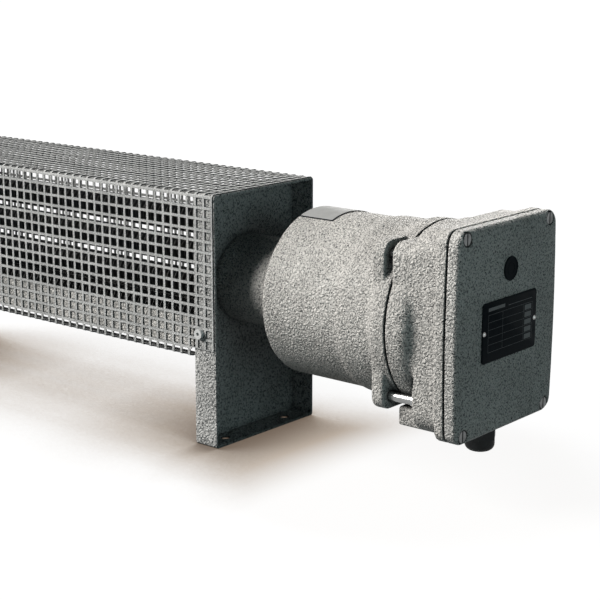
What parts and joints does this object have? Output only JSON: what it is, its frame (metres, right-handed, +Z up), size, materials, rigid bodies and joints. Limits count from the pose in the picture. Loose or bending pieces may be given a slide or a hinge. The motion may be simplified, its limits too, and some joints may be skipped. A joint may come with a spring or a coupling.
{
  "type": "explosion-proof heater",
  "caption": "Finned air heater in a perforated guard on two folded brackets, with a neck tube, a round flameproof housing and a bolted terminal box with a cable gland.",
  "frame": {"origin": "on the floor under the middle of the whole object's box", "axes": "+X along the heater towards the terminal box and its cover, -Y the pictured side, +Z up"},
  "size_m": [0.7716, 0.161, 0.234],
  "materials": {
    "bracket_paint": "hammertone paint in the shade of the trays",
    "guard_zinc": "pale zinc-grey perforated sheet",
    "hammertone": "grey hammertone paint, finely speckled",
    "cast_hammertone": "cast aluminium under grey hammertone paint, finely speckled",
    "cover_hammertone": "cast aluminium under grey hammertone paint, finely speckled",
    "fastener": "zinc-plated steel",
    "element_steel": "dull stainless tube with rolled fins",
    "header_steel": "turned steel",
    "ceramic": "white ceramic",
    "label_metal": "bare bright curved plate",
    "black_rubber": "black rubber",
    "resin": "cast resin",
    "lead_insulation": "silicone insulation",
    "terminal_plastic": "beige moulded terminals",
    "brass": "brass earth stud",
    "plate_black": "black anodised plate, bare",
    "gland_plastic": "black nylon",
    "slip_plastic": "white nylon"
  },
  "bodies": {
    "heater": {"end_bracket_right": "bracket_paint", "end_bracket_left": "bracket_paint", "mesh_guard": "guard_zinc", "guard_rail_front": "hammertone", "guard_rail_rear": "hammertone", "guard_screws": "fastener", "guard_nuts": "fastener", "upper_element": "element_steel", "lower_element": "element_steel", "element_support": "guard_zinc", "support_screws": "fastener", "support_nuts": "fastener", "header_plate": "header_steel", "limit_thermostat": "ceramic", "element_insulators": "ceramic", "element_pins": "fastener", "neck_tube": "hammertone", "flameproof_housing": "cast_hammertone", "housing_label": "label_metal", "joint_ring": "black_rubber", "flange_bolts": "fastener", "terminal_box": "cast_hammertone", "lead_bushing": "resin", "internal_leads": "lead_insulation", "din_rail": "fastener", "rail_screws": "fastener", "terminal_blocks": "terminal_plastic", "terminal_screws": "fastener", "earth_terminal": "brass", "cover_gasket": "black_rubber", "terminal_cover": "cover_hammertone", "cover_screws": "fastener", "rating_plate": "plate_black", "plate_rivets": "fastener", "round_badge": "plate_black", "entry_plug": "fastener", "gland_washer": "black_rubber", "gland_body": "gland_plastic", "gland_seal": "black_rubber"},
    "gland_slip": {"gland_slip_ring": "slip_plastic"},
    "gland_nut": {"gland_dome_nut": "gland_plastic"}
  },
  "joints": [
    {"name": "gland_nut_travel", "type": "slide", "parent": "heater", "child": "gland_slip", "axis": [0, 0, -1], "range_m": [0, 0.0046]},
    {"name": "gland_nut_turn", "type": "hinge", "parent": "gland_slip", "child": "gland_nut", "pos_m": [0.3422, 0.025, 0.035], "axis": [0, 0, -1], "range_deg": [0, 1080]}
  ],
  "couplings": [
    {"joint": "gland_nut_travel", "follows": "gland_nut_turn", "m_per_rad": 0.00023873}
  ]
}
